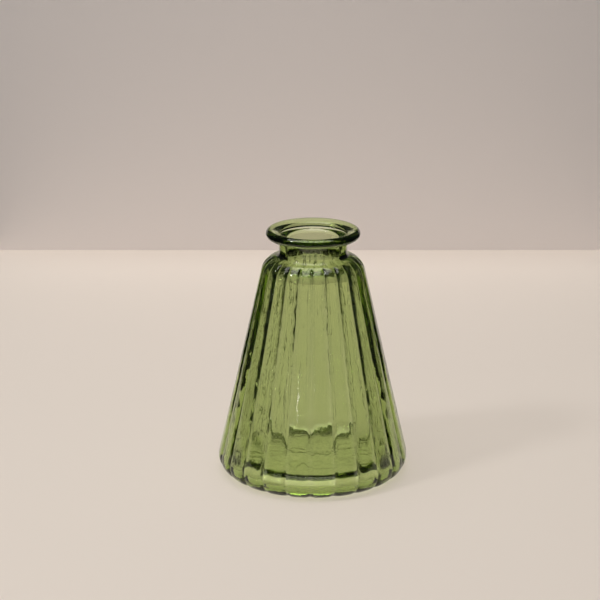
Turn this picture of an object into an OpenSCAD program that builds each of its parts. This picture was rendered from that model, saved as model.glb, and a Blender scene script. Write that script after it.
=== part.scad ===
// Ribbed glass bud vase: one piece of moulded glass, from the ring it stands on to its rolled lip.
// Z = 0 is the surface that it stands on, and the Z axis runs up the middle of its neck.
// The body is a cone with a rounded heel and a rounded shoulder, fluted all round with convex ribs.

/* [Body] */
// Height of the whole vase, from the table to the top of the lip
height = 105; // [90:1:140]
// Width of the body at its heel, over the rib crests
heel_diameter = 80; // [66:1:100]
// Width of the body at its shoulder, over the rib crests
shoulder_diameter = 43.2; // [36:0.2:54]
// Radius of the round between the standing ring and the side of the body
heel_radius = 6.5; // [4.5:0.5:9]
// Radius of the round between the side of the body and the foot of the neck
shoulder_radius = 7.4; // [5.6:0.1:9]

/* [Ribs] */
// How many ribs stand side by side round the body
rib_count = 24; // [12:1:30]
// Depth of the creases between the ribs, near the heel
rib_depth_at_heel = 0.9; // [0.3:0.1:1.5]
// Depth of the creases between the ribs, near the shoulder
rib_depth_at_shoulder = 0.8; // [0.2:0.1:1.2]

/* [Neck and lip] */
// Width of the straight throat that the stems go through
throat_diameter = 21.6; // [16:0.2:26]
// Thickness of the glass round the throat
neck_wall = 3.3; // [2:0.1:4.5]
// Height of the neck, from the top of the shoulder to the underside of the lip
neck_length = 7.6; // [6:0.2:12]
// Radius of the hollow round where the neck meets the shoulder
neck_fillet = 1.8; // [0.4:0.1:2.5]
// How far the lip stands out past the neck
lip_overhang = 5.4; // [3:0.1:7]
// Thickness of the rolled lip
lip_thickness = 3.8; // [3:0.1:5]
// How far the throat opens out, on each side, on its way up to the lip
mouth_flare = 2.9; // [1.8:0.1:3.5]

/* [Glass] */
// Thickness of the side of the body, from the inside to the rib crests
wall = 3; // [2.4:0.1:4.6]
// Height of the middle of the inside floor above the table
base_thickness = 6.6; // [6.4:0.2:12]
// How far the inside floor falls away on its way out to the wall
floor_fall = 3.4; // [0:0.1:3.6]
// Radius of the round between the inside floor and the inside of the wall
inner_heel_radius = 3.8; // [2:0.2:8]
// Width of the flat ring that the vase stands on
standing_ring_width = 1; // [0.8:0.2:6]
// How far the hollow under the base rises inside the standing ring
punt_depth = 4.2; // [1:0.1:4.6]

/* [Hidden] */
$fn = 96;

GLASS_COLOUR = [0.56, 0.63, 0.38, 0.55];

// Facets across one rib, steps along one round of an outline, and rings between the two rounds
RIB_STEPS = 6;
ROUND_STEPS = 8;
SIDE_STEPS = 3;

// The ribbed skin starts a little above the table, so that only the standing ring touches it
FOOT_LIFT = 0.1;
// Slopes of the rounds, in degrees from level, between which the ribs rise out of plain glass
HEEL_FADE = -60;
SHOULDER_FADE = [48, 66];
// Power of the curve across a rib: 2 is round, and a higher one is flatter with a narrower crease
RIB_SQUARENESS = 3;

// How far one solid reaches into the next, or a cut reaches past the glass
OVERLAP = 2;
// The cut of the flare runs out this far over the ledge that it ends on
FLARE_RUN_OUT = 0.12;
// Ledge between the flare of the throat and the inner edge of the lip: width and depth
MOUTH_LEDGE = [0.25, 0.8];
// Height of the flare, and the round at its foot
FLARE_HEIGHT = 0.8;
FLARE_ROUND = 1.5;
// Inside of the shoulder, a funnel: how far below the shoulder's top it starts and ends, and rounds
FUNNEL_DROP = [5.3, 2.1];
FUNNEL_ROUND = [5, 3.5];
// Small rounds: inner edge of the lip, and under the lip
LIP_INNER_ROUND = 0.95;
LIP_UNDER_ROUND = 1.2;
// Width of the sloping edge of the floor and of the hollow, and the steps that it is drawn with
FLOOR_RUN = 6.5;
PUNT_RUN = 5;
RUN_STEPS = 8;
// Share of the hollow's depth that the sloping edge rises; the rest is a shallow dome
PUNT_STEP_SHARE = 0.95;

function interpolate(a, b, share) = a + (b - a) * share;
function smooth_step(x) = let (t = min(1, max(0, x))) t * t * (3 - 2 * t);
function on_circle(centre, radius, angle) = centre + radius * [cos(angle), sin(angle)];
function arc(centre, radius, from, to) =
    [for (i = [0 : ROUND_STEPS]) on_circle(centre, radius, interpolate(from, to, i / ROUND_STEPS))];
function angle_to(from, to) = atan2(to[1] - from[1], to[0] - from[0]);
// A corner of an outline, rounded by a circle that touches both its sides
function corner(before, at, after, radius) =
    let (
        into = (at - before) / norm(at - before),
        out = (after - at) / norm(after - at),
        turned = atan2(into[0] * out[1] - into[1] * out[0], into * out),
        start = at - into * radius * tan(abs(turned) / 2),
        centre = start + sign(turned) * radius * [-into[1], into[0]],
        first = angle_to(centre, start)
    )
        arc(centre, radius, first, first + turned);
// Direction, from both centres, of the straight line that touches two circles on their outer side
function tangent_angle(a, radius_a, b, radius_b) =
    angle_to(a, b) - acos((radius_a - radius_b) / norm(b - a));

// Outline over the rib crests: the heel circle, the shoulder circle and the line that touches both
heel_centre = [heel_diameter / 2 - heel_radius, heel_radius];
shoulder_top = height - lip_thickness - neck_length;
shoulder_centre = [shoulder_diameter / 2 - shoulder_radius, shoulder_top - shoulder_radius];
side_angle = tangent_angle(heel_centre, heel_radius, shoulder_centre, shoulder_radius);
side_start = on_circle(heel_centre, heel_radius, side_angle);
side_end = on_circle(shoulder_centre, shoulder_radius, side_angle);
heel_angle = asin((FOOT_LIFT - heel_radius) / heel_radius);

// Neck and lip
throat_radius = throat_diameter / 2;
neck_radius = throat_radius + neck_wall;
lip_round = lip_thickness / 2;
lip_centre = [neck_radius + lip_overhang - lip_round, height - lip_round];
mouth_radius = throat_radius + mouth_flare + MOUTH_LEDGE[0];
mouth_edge_centre = [mouth_radius + LIP_INNER_ROUND, lip_centre[1]];
lip_top_angle = tangent_angle(lip_centre, lip_round, mouth_edge_centre, LIP_INNER_ROUND);
ledge_height = lip_centre[1] - MOUTH_LEDGE[1];
// The fillet at the foot of the neck touches the neck and the shoulder circle, or the flat top
fillet_offset = max(0, neck_radius + neck_fillet - shoulder_centre[0]);
fillet_reach = shoulder_radius + neck_fillet;
fillet_centre = [neck_radius + neck_fillet,
                 shoulder_centre[1] + sqrt(fillet_reach * fillet_reach - fillet_offset * fillet_offset)];
fillet_angle = acos(fillet_offset / fillet_reach) + 180;
fillet_foot = on_circle(fillet_centre, neck_fillet, fillet_angle);

// Inside of the body: the crest outline moved in by the wall, from the floor up to the funnel
facing = [cos(side_angle), sin(side_angle)];
inside_line = heel_centre * facing + heel_radius - wall;
floor_edge_height = base_thickness - floor_fall;
inner_heel_height = floor_edge_height + inner_heel_radius;
inner_heel_centre = [(inside_line - inner_heel_radius - inner_heel_height * facing[1]) / facing[0],
                     inner_heel_height];
inner_side_foot = on_circle(inner_heel_centre, inner_heel_radius, side_angle);
funnel_foot_height = shoulder_top - FUNNEL_DROP[0];
funnel_foot = [(inside_line - funnel_foot_height * facing[1]) / facing[0], funnel_foot_height];
funnel_top = [throat_radius, shoulder_top - FUNNEL_DROP[1]];

// Flare of the throat: a short cone that ends on the ledge
flare_angle = atan2(FLARE_HEIGHT, mouth_flare);
flare_top = [throat_radius + mouth_flare, ledge_height];
flare_centre = [throat_radius + FLARE_ROUND,
                ledge_height - FLARE_HEIGHT - FLARE_ROUND * tan(45 - flare_angle / 2)];
flare_end = flare_top + FLARE_RUN_OUT * [1, tan(flare_angle)];

// Hollow under the base
punt_radius = heel_centre[0] - standing_ring_width;
punt_step = punt_depth * PUNT_STEP_SHARE;

// Depth of the creases at a height on the side, and the share of it that is left on a round
function depth_at(z) = interpolate(rib_depth_at_heel, rib_depth_at_shoulder,
    (z - side_start[1]) / (side_end[1] - side_start[1]));
function fade_at(slope) = smooth_step((slope - heel_angle) / (HEEL_FADE - heel_angle))
    * smooth_step((SHOULDER_FADE[1] - slope) / (SHOULDER_FADE[1] - SHOULDER_FADE[0]));

// A station is [crest point, slope of the outward normal, depth of the creases there]
function round_stations(centre, radius, from, to) = [
    for (i = [0 : ROUND_STEPS])
        let (slope = interpolate(from, to, i / ROUND_STEPS), crest = on_circle(centre, radius, slope))
            [crest, slope, depth_at(crest[1]) * fade_at(slope)]
];
side_stations = [
    for (i = [1 : SIDE_STEPS - 1])
        let (crest = interpolate(side_start, side_end, i / SIDE_STEPS))
            [crest, side_angle, depth_at(crest[1])]
];
stations = concat(
    round_stations(heel_centre, heel_radius, heel_angle, side_angle),
    side_stations,
    round_stations(shoulder_centre, shoulder_radius, side_angle, 90)
);

// Points round one station: each rib is a convex lobe, deepest where it meets its neighbour
RING_POINTS = rib_count * RIB_STEPS;
function crease_share(i) = pow(abs(2 * (i % RIB_STEPS) / RIB_STEPS - 1), RIB_SQUARENESS);
function ring(station) = [
    for (i = [0 : RING_POINTS - 1])
        let (
            turn = i * 360 / RING_POINTS - 90,
            outline = on_circle(station[0], -station[2] * crease_share(i), station[1])
        )
            [outline[0] * cos(turn), outline[0] * sin(turn), outline[1]]
];

module ribbed_skin() {
    last = len(stations) - 1;
    sides = [
        for (k = [0 : last - 1], i = [0 : RING_POINTS - 1])
            let (a = k * RING_POINTS + i, b = k * RING_POINTS + (i + 1) % RING_POINTS)
                each [[a, a + RING_POINTS, b + RING_POINTS], [a, b + RING_POINTS, b]]
    ];
    bottom = [for (i = [0 : RING_POINTS - 1]) i];
    top = [for (i = [RING_POINTS - 1 : -1 : 0]) last * RING_POINTS + i];
    polyhedron([for (station = stations) each ring(station)], concat(sides, [bottom, top]));
}

module standing_ring() {
    cylinder(h = heel_radius, r = heel_centre[0]);
}

module neck_and_lip() {
    buried = fillet_foot[1] - OVERLAP;
    rotate_extrude() polygon(concat(
        [[0, buried], [fillet_foot[0], buried]],
        arc(fillet_centre, neck_fillet, fillet_angle, 180),
        arc([neck_radius + LIP_UNDER_ROUND, lip_centre[1] - lip_round - LIP_UNDER_ROUND],
            LIP_UNDER_ROUND, 180, 90),
        arc(lip_centre, lip_round, -90, lip_top_angle),
        arc(mouth_edge_centre, LIP_INNER_ROUND, lip_top_angle, 180),
        [[mouth_radius, ledge_height], [0, ledge_height]]
    ));
}

// The room for water and stems, the throat and its flare
module inside() {
    rotate_extrude() polygon(concat(
        [[0, base_thickness]],
        [for (i = [0 : RUN_STEPS - 1])
            [inner_heel_centre[0] - FLOOR_RUN * (1 - i / RUN_STEPS),
             base_thickness - floor_fall * smooth_step(i / RUN_STEPS)]],
        arc(inner_heel_centre, inner_heel_radius, -90, side_angle),
        corner(inner_side_foot, funnel_foot, funnel_top, FUNNEL_ROUND[0]),
        corner(funnel_foot, funnel_top, flare_centre - [FLARE_ROUND, 0], FUNNEL_ROUND[1]),
        arc(flare_centre, FLARE_ROUND, 180, 90 + flare_angle),
        [flare_end, [flare_end[0], height + OVERLAP], [0, height + OVERLAP]]
    ));
}

module punt() {
    rotate_extrude() polygon(concat(
        [[0, -OVERLAP], [punt_radius, -OVERLAP]],
        [for (i = [0 : RUN_STEPS])
            let (across = punt_radius - PUNT_RUN * i / RUN_STEPS)
                [across, punt_step * smooth_step(i / RUN_STEPS)
                    + (punt_depth - punt_step) * (1 - pow(across / punt_radius, 2))]],
        [[0, punt_depth]]
    ));
}

module glass_vase() {
    color(GLASS_COLOUR) difference() {
        union() {
            ribbed_skin();
            standing_ring();
            neck_and_lip();
        }
        inside();
        punt();
    }
}

glass_vase();
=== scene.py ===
import math

import bpy
import numpy as np
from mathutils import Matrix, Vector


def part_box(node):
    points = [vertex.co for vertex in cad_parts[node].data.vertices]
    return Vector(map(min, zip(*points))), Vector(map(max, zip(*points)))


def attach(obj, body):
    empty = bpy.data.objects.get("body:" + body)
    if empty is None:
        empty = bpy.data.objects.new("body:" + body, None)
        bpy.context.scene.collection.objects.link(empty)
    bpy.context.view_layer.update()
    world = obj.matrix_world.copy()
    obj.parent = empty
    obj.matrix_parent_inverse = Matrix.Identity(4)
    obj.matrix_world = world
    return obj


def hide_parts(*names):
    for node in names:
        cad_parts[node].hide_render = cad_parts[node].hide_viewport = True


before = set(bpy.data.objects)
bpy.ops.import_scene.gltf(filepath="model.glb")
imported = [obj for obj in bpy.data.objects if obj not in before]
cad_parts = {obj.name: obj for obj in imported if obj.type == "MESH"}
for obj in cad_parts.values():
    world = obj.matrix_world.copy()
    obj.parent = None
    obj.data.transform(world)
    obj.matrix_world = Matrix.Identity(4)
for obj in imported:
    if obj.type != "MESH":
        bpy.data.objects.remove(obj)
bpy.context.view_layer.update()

# --- Glass vase ------------------------------------------------------------------------------
# One moulding of yellow-green glass. The mould gives the cone its convex ribs, its rounded heel
# and its shoulder; the lip is rolled outwards and fire-polished. The inside is smooth glass that
# sinks a little behind each crease and ripples, as glass that was blown against a mould does.
MM = 0.001
low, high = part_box("glass_vase")
vase_height = high[2] - low[2]
heel_radius_across = 40 * MM
heel_round = 6.5 * MM
shoulder_radius_across = 21.6 * MM
shoulder_round = 7.4 * MM
rib_count = 24
crease_depth_heel = 0.8 * MM
crease_depth_shoulder = 0.75 * MM
throat_radius = 10.8 * MM
neck_radius = 14.1 * MM
neck_length = 7.6 * MM
neck_fillet = 1.8 * MM
lip_radius = 19.5 * MM
lip_round = 1.9 * MM
lip_under_round = 1.2 * MM
lip_inner_round = 0.95 * MM
mouth_radius = 13.95 * MM
flare_height = 0.8 * MM
flare_round = 1.5 * MM
side_wall = 3.0 * MM
base_thickness = 6.6 * MM
inner_heel_round = 3.8 * MM
standing_ring_width = 1.0 * MM
punt_depth = 4.2 * MM
punt_step = 4.0 * MM
punt_step_run = 5.0 * MM
ring_edge_run = 0.4 * MM
ring_edge_rise = 0.05 * MM
moat_depth = 3.4 * MM
moat_run = 6.5 * MM
throat_end_round = 3.5 * MM
throat_end_height = 91.5 * MM
inner_shoulder_height = 88.3 * MM
inner_shoulder_round = 5.0 * MM
ledge_width = 0.1 * MM
ledge_depth = 0.8 * MM
mouth_edge_end = 185
base_rows = 26
base_row_spread = 1.6


def on_circle(centre, radius, degrees):
    """Points of a circle in the (radius, height) plane: centre + radius * (cos, sin)."""
    turn = np.radians(degrees)
    return np.stack([centre[0] + radius * np.cos(turn), centre[1] + radius * np.sin(turn)], -1)


def arc(centre, radius, start, end, steps):
    """A round stretch of an outline: steps equal turns from one angle to the other."""
    return on_circle(centre, radius, np.linspace(start, end, steps + 1))


def line(start, end, steps):
    """A straight stretch of an outline: start + share * (end - start), without either end."""
    share = np.linspace(0, 1, steps + 1)[1:-1, None]
    return np.asarray(start) + share * (np.asarray(end) - np.asarray(start))


def corner(before, at, after, radius, steps):
    """A corner rounded by a circle that touches both its sides, as steps equal turns.

    The circle starts radius * tan(turn / 2) before the corner, and its centre lies one radius
    from both sides.
    """
    into, out = (np.subtract(at, before), np.subtract(after, at))
    into, out = into / np.hypot(*into), out / np.hypot(*out)
    turned = math.atan2(into[0] * out[1] - into[1] * out[0], float(np.dot(into, out)))
    side = math.copysign(1, turned)
    start = np.asarray(at) - into * radius * math.tan(abs(turned) / 2)
    centre = start + side * radius * np.array([-into[1], into[0]])
    first = math.degrees(math.atan2(*(start - centre)[::-1]))
    return arc(centre, radius, first, first + math.degrees(turned), steps)


def tangent_angle(a, radius_a, b, radius_b):
    """Direction, from both centres, of the line that touches two circles on their outer side."""
    across = np.subtract(b, a)
    return np.degrees(np.arctan2(across[1], across[0])
                      - np.arccos((radius_a - radius_b) / np.hypot(*across)))


def ease(x):
    """Smooth step from 0 to 1: 3x^2 - 2x^3, with x held between 0 and 1."""
    x = np.clip(x, 0, 1)
    return x * x * (3 - 2 * x)


heel = (heel_radius_across - heel_round, heel_round)
shoulder_top = vase_height - 2 * lip_round - neck_length
shoulder = (shoulder_radius_across - shoulder_round, shoulder_top - shoulder_round)
side_angle = tangent_angle(heel, heel_round, shoulder, shoulder_round)
lip = (lip_radius - lip_round, vase_height - lip_round)
mouth_edge = (mouth_radius + lip_inner_round, lip[1])
lip_top_angle = tangent_angle(lip, lip_round, mouth_edge, lip_inner_round)
flare_top = (mouth_radius + ledge_width, lip[1] - ledge_depth)
flare_angle = math.degrees(math.atan2(flare_height, mouth_radius - throat_radius))
flare_foot = (throat_radius + flare_round,
              flare_top[1] - flare_height
              - flare_round * math.tan(math.radians(45 - flare_angle / 2)))
fillet_reach = shoulder_round + neck_fillet
fillet_offset = neck_radius + neck_fillet - shoulder[0]
fillet = (neck_radius + neck_fillet,
          shoulder[1] + math.sqrt(fillet_reach ** 2 - fillet_offset ** 2))
fillet_angle = math.degrees(math.acos(fillet_offset / fillet_reach)) + 180
facing = np.array([math.cos(math.radians(side_angle)), math.sin(math.radians(side_angle))])
inner_heel_height = base_thickness - moat_depth + inner_heel_round
inner_reach = np.dot(heel, facing) + heel_round - side_wall - inner_heel_round
inner_heel = ((inner_reach - inner_heel_height * facing[1]) / facing[0], inner_heel_height)
inner_side = np.dot(heel, facing) + heel_round - side_wall
throat_end = (throat_radius, throat_end_height)
inner_shoulder = ((inner_side - inner_shoulder_height * facing[1]) / facing[0],
                  inner_shoulder_height)
inner_side_foot = on_circle(inner_heel, inner_heel_round, side_angle)
punt_radius = heel[0] - standing_ring_width
base_share = np.linspace(0, 1, base_rows)[1:-1]
# The hollow underneath: a soft step up from the ring, then a low dome
punt_across = punt_radius * (1 - (1 - base_share) ** base_row_spread)
punt = np.stack([punt_across, punt_step * ease((punt_radius - punt_across) / punt_step_run)
                 + (punt_depth - punt_step) * (1 - (punt_across / punt_radius) ** 2)], -1)
# The floor inside: level in the middle, then a soft fall towards the wall
floor_across = inner_heel[0] * (1 - base_share ** base_row_spread)
inner_floor = np.stack([floor_across, base_thickness - moat_depth
                        + moat_depth * ease((inner_heel[0] - floor_across) / moat_run)], -1)

throat_round = corner(flare_foot, throat_end, inner_shoulder, throat_end_round, steps=8)
shoulder_inside = corner(throat_end, inner_shoulder, inner_side_foot, inner_shoulder_round,
                         steps=12)

# The outline, from the middle of the base round the outside and down the inside to the floor
ring_start = (punt_radius + ring_edge_run, 0)
neck_foot = (neck_radius, fillet[1])
under_lip = (neck_radius + lip_under_round, lip[1] - lip_round - lip_under_round)
outline = np.concatenate([
    punt,
    [[punt_radius, ring_edge_rise], ring_start],
    line(ring_start, (heel[0], 0), steps=4),
    arc(heel, heel_round, -90, side_angle, steps=22),
    line(on_circle(heel, heel_round, side_angle),
         on_circle(shoulder, shoulder_round, side_angle), steps=14),
    arc(shoulder, shoulder_round, side_angle, fillet_angle - 180, steps=20),
    arc(fillet, neck_fillet, fillet_angle, 180, steps=6)[1:],
    line(neck_foot, (neck_radius, under_lip[1]), steps=5),
    arc(under_lip, lip_under_round, 180, 90, steps=6),
    arc(lip, lip_round, -90, lip_top_angle, steps=24),
    arc(mouth_edge, lip_inner_round, lip_top_angle, mouth_edge_end, steps=8),
    [flare_top],
    line(flare_top, on_circle(flare_foot, flare_round, 90 + flare_angle), steps=6),
    arc(flare_foot, flare_round, 90 + flare_angle, 180, steps=6),
    throat_round,
    shoulder_inside,
    line(shoulder_inside[-1], inner_side_foot, steps=46),
    arc(inner_heel, inner_heel_round, side_angle, -90, steps=14),
    inner_floor,
])
along = np.concatenate([[0], np.cumsum(np.hypot(*np.diff(outline, axis=0).T))])
smallest_step = 1e-7
keep = np.concatenate([[True], np.diff(along) > smallest_step])
outline, along = outline[keep], along[keep]
tangent = np.gradient(outline, along, axis=0)
tangent /= np.hypot(*tangent.T)[:, None]
outward = np.stack([tangent[:, 1], -tangent[:, 0]], -1)
slope = np.degrees(np.arctan2(outward[:, 1], outward[:, 0]))
lip_crossing = along[np.argmax(outline[:, 1])]
outside = along < lip_crossing

# Crease depth along the outside: full on the side, easing out under the heel and on the shoulder.
# The fades run with the slope of the skin, in degrees: -90 faces down, 90 faces up.
heel_fade_start, heel_fade = -88, 22
shoulder_fade_end, shoulder_fade = 66, 18
side_low, side_high = heel[1], shoulder[1]
height_share = np.clip((outline[:, 1] - side_low) / (side_high - side_low), 0, 1)
crease_depth = crease_depth_heel + (crease_depth_shoulder - crease_depth_heel) * height_share
crease_depth *= (ease((slope - heel_fade_start) / heel_fade)
                 * ease((shoulder_fade_end - slope) / shoulder_fade) * outside)
crease_depth *= outline[:, 1] < shoulder_top
# The inside sinks behind the creases by a small share of their depth, on the wall only
funnel_edge = 1.3 * throat_radius
inside_wall = ~outside & (outline[:, 0] > funnel_edge) & (outline[:, 1] > base_thickness)
echo_full = 0.1 * MM
echo_fade_top = 10 * MM
echo_fade_foot = 6 * MM
echo_depth = echo_full * inside_wall
echo_depth *= ease((inner_shoulder_height - outline[:, 1]) / echo_fade_top)
echo_depth *= ease((outline[:, 1] - base_thickness) / echo_fade_foot)

# Angles round the vase: closer together near the creases, which lie on the X and Y axes
facets_per_rib = 16
across_rib = np.sin(np.linspace(-90, 90, facets_per_rib + 1)[:-1] * math.pi / 180)
rib_turn = 2 * math.pi / rib_count
rib_middle = (np.arange(rib_count) + 0.5) * rib_turn
turn = (rib_middle[:, None] + across_rib[None, :] * rib_turn / 2).ravel()
crease_softness = 0.18
rib_squareness = 5.0


def crease_share(across):
    """How far a rib has sunk, 0 at its crest and 1 in the crease: |u|^p, softened at the crease.

    It is 1 - (sqrt((1 - |u|^p)^2 + e^2) - e) / (sqrt(1 + e^2) - e), with e the softness.
    """
    soft = math.hypot(1, crease_softness) - crease_softness
    fall = 1 - np.abs(across) ** rib_squareness
    return 1 - (np.hypot(fall, crease_softness) - crease_softness) / soft


def between(height, start, start_fade, end, end_fade):
    """1 between two heights, 0 beyond them: ease of each height's distance divided by its fade."""
    return ease((height - start) / start_fade) * ease((end - height) / end_fade)


lobe = crease_share(np.tile(across_rib, rib_count))
station, angle = np.meshgrid(along / MM, turn, indexing="ij")
height_mm = np.broadcast_to(outline[:, 1:] / MM, station.shape)
# Soft unevenness of hand-finished glass, in millimetres: slow waves that don't repeat round it,
# made of sines of the height and of the angle
swell_size = 0.05
long_ripple_size = 0.07
short_ripple_size = 0.05
swell = (swell_size * np.sin(3 * angle + 0.11 * height_mm)
         * np.sin(0.16 * height_mm + 1.3 + angle))
long_ripple = (long_ripple_size * np.sin(0.55 * height_mm + 2.1 * np.sin(2 * angle + 0.4))
               * np.sin(5 * angle + 0.23 * height_mm + 0.8))
short_ripple = (short_ripple_size * np.sin(0.9 * height_mm + 7 * angle + 2.0 * np.sin(3 * angle)
                                           + 2.5 * np.sin(0.19 * height_mm + 4 * angle))
                * np.sin(0.07 * height_mm + 2 * angle + 0.5))
ripple = long_ripple + short_ripple
# Fine rings: the neck's and the foot's inside were turned or settled in rounds
ring_size = 0.035
ring_spacing = 1.35
ring_share_outside = 0.4
foot_rings_from = 24 * MM
neck_rings = between(height_mm, 92, 2, 101, 2)
foot_rings = between(height_mm, 0.5, 2, 13, 4) * (outline[:, :1] > foot_rings_from)
rings = (ring_size * np.sin(2 * math.pi * station / ring_spacing + 0.6 * np.sin(2 * angle + 1))
         * (neck_rings + foot_rings))
# Cold folds on the inside, each a thin wandering furrow near a crease: degrees, low, high in mm
folds = ((-106.5, 58, 84), (-75.3, 46, 85), (-60.2, 38, 62), (-119.6, 52, 75), (-121, 24, 42),
         (-59.5, 22, 34), (-134.6, 44, 70), (-45.4, 50, 80))
fold_size = -0.9
fold_width = 0.42
fold_fade = 4
furrow = 0
for place, start, end in folds:
    wander = 0.35 * np.sin(0.9 * height_mm + place) + 0.25 * np.sin(2.3 * height_mm + 2 * place)
    off = (angle - math.radians(place % 360)) * outline[:, :1] / MM - wander
    patchy = 0.55 + 0.45 * np.sin(1.3 * height_mm + 3 * place) * np.sin(0.47 * height_mm + place)
    furrow = furrow + (fold_size * patchy * np.exp(-(off / fold_width) ** 2)
                       * ease((height_mm - start) / fold_fade)
                       * ease((end - height_mm) / fold_fade))
body_share = between(height_mm, 2, 6, shoulder_top / MM + 4, 8)
wave = np.where(outside[:, None], swell, ripple) * body_share * MM
wave = wave + np.where(outside[:, None], ring_share_outside * rings,
                       rings + furrow * inside_wall[:, None]) * MM
sunk = (crease_depth + echo_depth)[:, None] * lobe[None, :] - wave
radius = outline[:, :1] - sunk * outward[:, :1]
height = outline[:, 1:] - sunk * outward[:, 1:]


def closed_skin(name, radius, height, turn):
    """Mesh of a surface round Z, closed by one point on the axis at each end of its outline.

    Vertex (i, j) is (radius_ij * cos(turn_j), radius_ij * sin(turn_j), height_ij).
    """
    rows, columns = radius.shape
    grid = np.stack([radius * np.cos(turn), radius * np.sin(turn), height], -1).reshape(-1, 3)
    ends = [[0, 0, height[0].mean()], [0, 0, height[-1].mean()]]
    here = np.arange(columns)
    there = np.roll(here, -1)
    row = (np.arange(rows - 1) * columns)[:, None]
    quads = np.stack([row + here, row + there, row + columns + there, row + columns + here], -1)
    first = np.stack([np.full(columns, len(grid)), there, here], -1)
    last_row = (rows - 1) * columns
    last = np.stack([np.full(columns, len(grid) + 1), last_row + here, last_row + there], -1)
    mesh = bpy.data.meshes.new(name)
    mesh.from_pydata(np.concatenate([grid, ends]).tolist(), [],
                     quads.reshape(-1, 4).tolist() + first.tolist() + last.tolist())
    mesh.polygons.foreach_set("use_smooth", np.ones(len(mesh.polygons), dtype=bool))
    piece = bpy.data.objects.new(name, mesh)
    bpy.context.scene.collection.objects.link(piece)
    return piece


vase = closed_skin("ribbed_glass_vase", radius, height, turn)

# Clear glass tinted in the mass: long ways through it go deep green, and blue goes first.
# Its skin has the faint orange peel of moulded glass and a trace of handling.
glass = bpy.data.materials.new("yellow_green_glass")
glass.use_nodes = True
nodes, links = glass.node_tree.nodes, glass.node_tree.links
shader = nodes["Principled BSDF"]
shader.inputs["Base Color"].default_value = (1, 1, 1, 1)
shader.inputs["Transmission Weight"].default_value = 1
shader.inputs["IOR"].default_value = 1.51
shader.inputs["Roughness"].default_value = 0
where = nodes.new("ShaderNodeTexCoord")
peel = nodes.new("ShaderNodeTexNoise")
peel.inputs["Scale"].default_value = 220
peel.inputs["Detail"].default_value = 2
links.new(where.outputs["Object"], peel.inputs["Vector"])
bump = nodes.new("ShaderNodeBump")
bump.inputs["Strength"].default_value = 0.12
bump.inputs["Distance"].default_value = 0.0004
links.new(peel.outputs["Fac"], bump.inputs["Height"])
streaks = nodes.new("ShaderNodeTexNoise")
streaks.inputs["Scale"].default_value = 1
streaks.inputs["Detail"].default_value = 3
drawn = nodes.new("ShaderNodeMapping")
drawn.inputs["Scale"].default_value = (480, 480, 14)
links.new(where.outputs["Object"], drawn.inputs["Vector"])
links.new(drawn.outputs["Vector"], streaks.inputs["Vector"])
drawn_bump = nodes.new("ShaderNodeBump")
drawn_bump.inputs["Strength"].default_value = 0.35
drawn_bump.inputs["Distance"].default_value = 0.0003
links.new(streaks.outputs["Fac"], drawn_bump.inputs["Height"])
links.new(bump.outputs["Normal"], drawn_bump.inputs["Normal"])
links.new(drawn_bump.outputs["Normal"], shader.inputs["Normal"])
handled = nodes.new("ShaderNodeTexNoise")
handled.inputs["Scale"].default_value = 38
handled.inputs["Detail"].default_value = 4
links.new(where.outputs["Object"], handled.inputs["Vector"])
haze = nodes.new("ShaderNodeMapRange")
haze.inputs["From Min"].default_value = 0.5
haze.inputs["From Max"].default_value = 0.75
haze.inputs["To Min"].default_value = 0.0
haze.inputs["To Max"].default_value = 0.05
links.new(handled.outputs["Fac"], haze.inputs["Value"])
links.new(haze.outputs["Result"], shader.inputs["Roughness"])
tint = nodes.new("ShaderNodeVolumeAbsorption")
tint.inputs["Color"].default_value = (0.49, 0.64, 0.0, 1)
tint.inputs["Density"].default_value = 225
links.new(tint.outputs["Volume"], nodes["Material Output"].inputs["Volume"])
vase.data.materials.append(glass)

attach(vase, "root")
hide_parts("glass_vase")

# --- Table and wall --------------------------------------------------------------------------
# Plain painted sheets, not part of the object: a pale table top, and a wall that shows from the
# front only, so that it hides nothing from behind. The floor beyond them is pale to the camera
# and nearly black to all other light, which makes the sides of the room dark for the glass.
wall_distance = 0.341
wall_turn = math.radians(1.83)
table_side = 0.21
table_front = 0.45
wall_height = 0.17
floor_reach = 1.5
floor_drop = 1 * MM
table_colour = (0.80, 0.72, 0.65)


def plain_sheet(name, corners):
    """A flat four-cornered sheet, facing the side from which its corners run anticlockwise."""
    mesh = bpy.data.meshes.new(name)
    mesh.from_pydata(corners, [], [(0, 1, 2, 3)])
    sheet = bpy.data.objects.new(name, mesh)
    bpy.context.scene.collection.objects.link(sheet)
    return sheet


def matt_paint(name, colour):
    """Plain matt paint in one colour."""
    paint = bpy.data.materials.new(name)
    paint.use_nodes = True
    paint.node_tree.nodes["Principled BSDF"].inputs["Base Color"].default_value = (*colour, 1)
    paint.node_tree.nodes["Principled BSDF"].inputs["Roughness"].default_value = 0.7
    return paint


wall_ends = [(side * math.cos(wall_turn), wall_distance + side * math.sin(wall_turn))
             for side in (-table_side, table_side)]
table = plain_sheet("table_top", [(-table_side, -table_front, 0), (table_side, -table_front, 0),
                                  (*wall_ends[1], 0), (*wall_ends[0], 0)])
table.data.materials.append(matt_paint("pale_table_paint", table_colour))
wall = plain_sheet("back_wall", [(*wall_ends[0], 0), (*wall_ends[1], 0),
                                 (*wall_ends[1], wall_height), (*wall_ends[0], wall_height)])
wall_paint = matt_paint("warm_grey_wall_paint", (0.95, 0.88, 0.85))
nodes, links = wall_paint.node_tree.nodes, wall_paint.node_tree.links
see_through = nodes.new("ShaderNodeBsdfTransparent")
either_side = nodes.new("ShaderNodeMixShader")
sides = nodes.new("ShaderNodeNewGeometry")
links.new(sides.outputs["Backfacing"], either_side.inputs["Fac"])
links.new(nodes["Principled BSDF"].outputs["BSDF"], either_side.inputs[1])
links.new(see_through.outputs["BSDF"], either_side.inputs[2])
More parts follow.
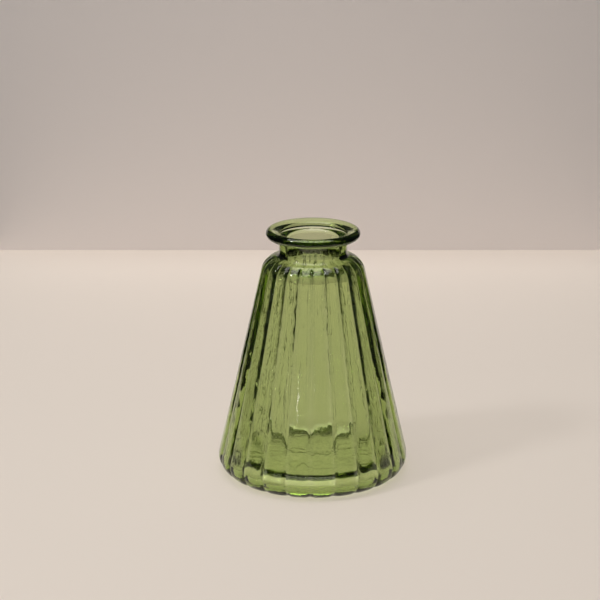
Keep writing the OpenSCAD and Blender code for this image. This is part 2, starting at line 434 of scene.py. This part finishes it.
links.new(either_side.outputs["Shader"], nodes["Material Output"].inputs["Surface"])
wall.data.materials.append(wall_paint)
floor = plain_sheet("floor_beyond", [(-floor_reach, -floor_reach, -floor_drop),
                                     (floor_reach, -floor_reach, -floor_drop),
                                     (floor_reach, floor_reach, -floor_drop),
                                     (-floor_reach, floor_reach, -floor_drop)])
floor_paint = matt_paint("pale_floor_paint", table_colour)
nodes, links = floor_paint.node_tree.nodes, floor_paint.node_tree.links
dark = nodes.new("ShaderNodeBsdfDiffuse")
dark.inputs["Color"].default_value = (0.01, 0.01, 0.01, 1)
seen = nodes.new("ShaderNodeMixShader")
ray = nodes.new("ShaderNodeLightPath")
links.new(ray.outputs["Is Camera Ray"], seen.inputs["Fac"])
links.new(dark.outputs["BSDF"], seen.inputs[1])
links.new(nodes["Principled BSDF"].outputs["BSDF"], seen.inputs[2])
links.new(seen.outputs["Shader"], nodes["Material Output"].inputs["Surface"])
floor.data.materials.append(floor_paint)

# --- Light -----------------------------------------------------------------------------------
# Broad soft light from overhead, a small key from the upper left and a little window behind the
# viewer, in a dim room, which darkens the edges of the glass. Two thirds of the overhead light
# ignores the vase's shadow, in place of the light that real glass focuses on the table under it.
def soft_light(name, place, size, power, colour=(1, 1, 1)):
    """A round soft light that faces the middle of the vase."""
    lamp = bpy.data.lights.new(name, "AREA")
    lamp.shape = "DISK"
    lamp.size = size
    lamp.energy = power
    lamp.color = colour
    holder = bpy.data.objects.new(name, lamp)
    holder.location = place
    aim = np.array([0, 0, vase_height / 2]) - np.array(place)
    holder.rotation_mode = "XYZ"
    holder.rotation_euler = (math.pi / 2 + math.atan2(aim[2], math.hypot(aim[0], aim[1])), 0,
                             math.atan2(-aim[0], aim[1]))
    bpy.context.scene.collection.objects.link(holder)
    return holder


panel_place = (-0.15, -0.1, 1.5)
panel_size = 1.7
panel_colour = (1, 0.97, 0.93)
sky_power = 7.5
through_power = 14.8
soft_light("sky_panel", panel_place, panel_size, sky_power, panel_colour)
through = soft_light("through_panel", panel_place, panel_size, through_power, panel_colour)
soft_light("key_light", place=(-0.9, -0.5, 1.0), size=0.22, power=2.4)
soft_light("window", place=(-0.54, -1.38, 0.175), size=0.03, power=0.05)
clear = bpy.data.collections.new("casts_no_shadow_from_the_through_panel")
clear.objects.link(vase)
clear.collection_objects[0].light_linking.link_state = "EXCLUDE"
through.light_linking.blocker_collection = clear

# The room is dim to the glass and the table; the camera alone sees its backdrop as pale
world = bpy.data.worlds.new("dim_room")
bpy.context.scene.world = world
world.use_nodes = True
nodes, links = world.node_tree.nodes, world.node_tree.links
dim = nodes["Background"]
dim.inputs["Color"].default_value = (0.9, 0.95, 1.0, 1)
dim.inputs["Strength"].default_value = 0.04
pale = nodes.new("ShaderNodeBackground")
pale.inputs["Color"].default_value = (0.52, 0.47, 0.43, 1)
shown = nodes.new("ShaderNodeMixShader")
ray = nodes.new("ShaderNodeLightPath")
links.new(ray.outputs["Is Camera Ray"], shown.inputs["Fac"])
links.new(dim.outputs["Background"], shown.inputs[1])
links.new(pale.outputs["Background"], shown.inputs[2])
links.new(shown.outputs["Shader"], nodes["World Output"].inputs["Surface"])

# --- Camera ----------------------------------------------------------------------------------
# It looks down on the vase from above the lip, through a long lens, with a crease just left of
# the middle. Its place is a distance, a height and a turn round the vase, and it looks aside.
camera_distance = 0.7117
camera_height = 0.2957
camera_turn = 1.4
camera_aside = 0.434
camera_down = 17.288
lens = 107.36
sensor_width = 36

camera = bpy.data.cameras.new("camera")
camera.sensor_width = sensor_width
camera.lens = lens
viewer = bpy.data.objects.new("camera", camera)
viewer.location = (camera_distance * math.sin(math.radians(camera_turn)),
                   -camera_distance * math.cos(math.radians(camera_turn)), camera_height)
viewer.rotation_euler = (math.radians(90 - camera_down), 0,
                         math.radians(camera_turn + camera_aside))
bpy.context.scene.collection.objects.link(viewer)
bpy.context.scene.camera = viewer
bpy.context.scene.view_settings.view_transform = "Standard"
